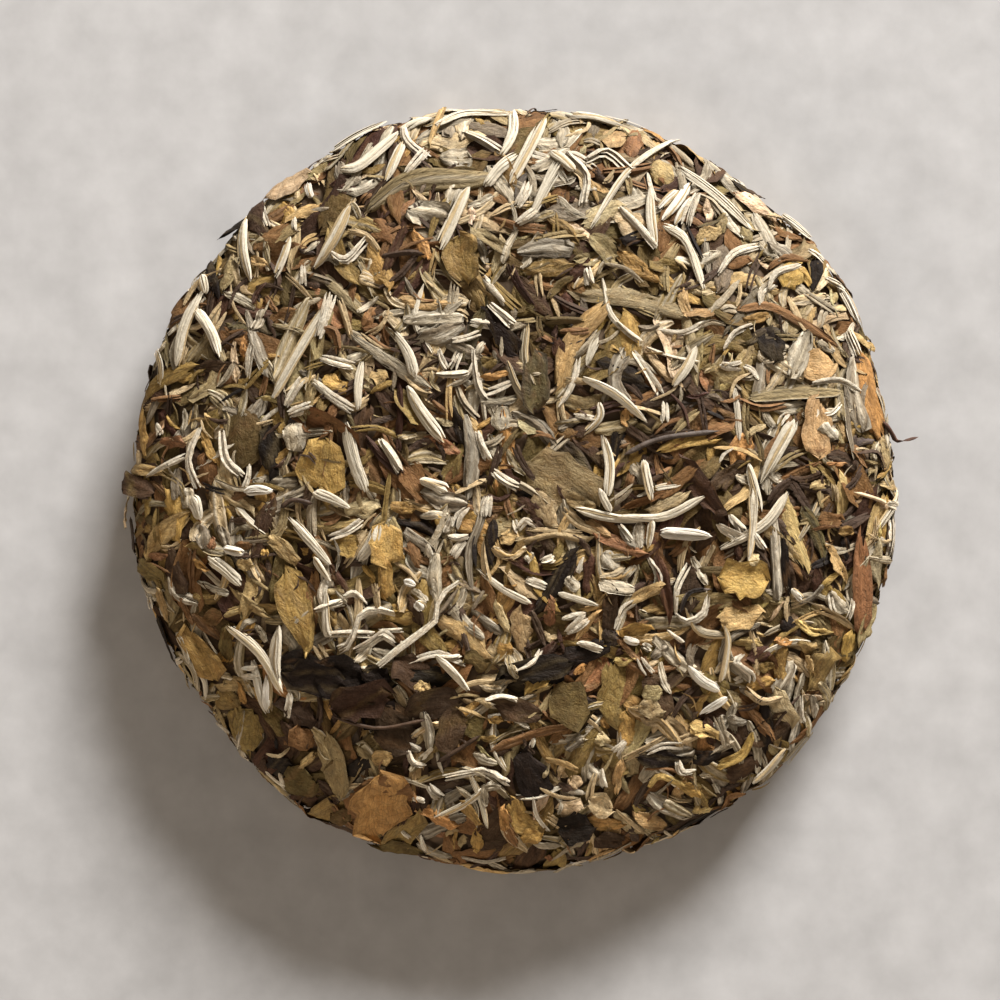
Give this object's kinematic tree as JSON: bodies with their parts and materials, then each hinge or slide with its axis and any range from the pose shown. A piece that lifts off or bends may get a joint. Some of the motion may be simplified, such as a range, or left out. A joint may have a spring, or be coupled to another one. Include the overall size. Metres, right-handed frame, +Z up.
{
  "type": "pressed tea cake",
  "caption": "Round pressed cake of white tea: a low domed disc of silvery buds, rolled leaves, flakes and stems, with a flat underside.",
  "frame": {"origin": "centre of the flat underside, on the surface that the cake lies on", "axes": "+Z up through the cake's thickness, +X to the picture's right, +Y to its top"},
  "size_m": [0.1967, 0.1925, 0.0291],
  "materials": {
    "pressed_tea": "dry matt leaf, brown and olive, with cream and silver buds"
  },
  "bodies": {
    "root": {"tea_cake": "pressed_tea"}
  },
  "joints": []
}
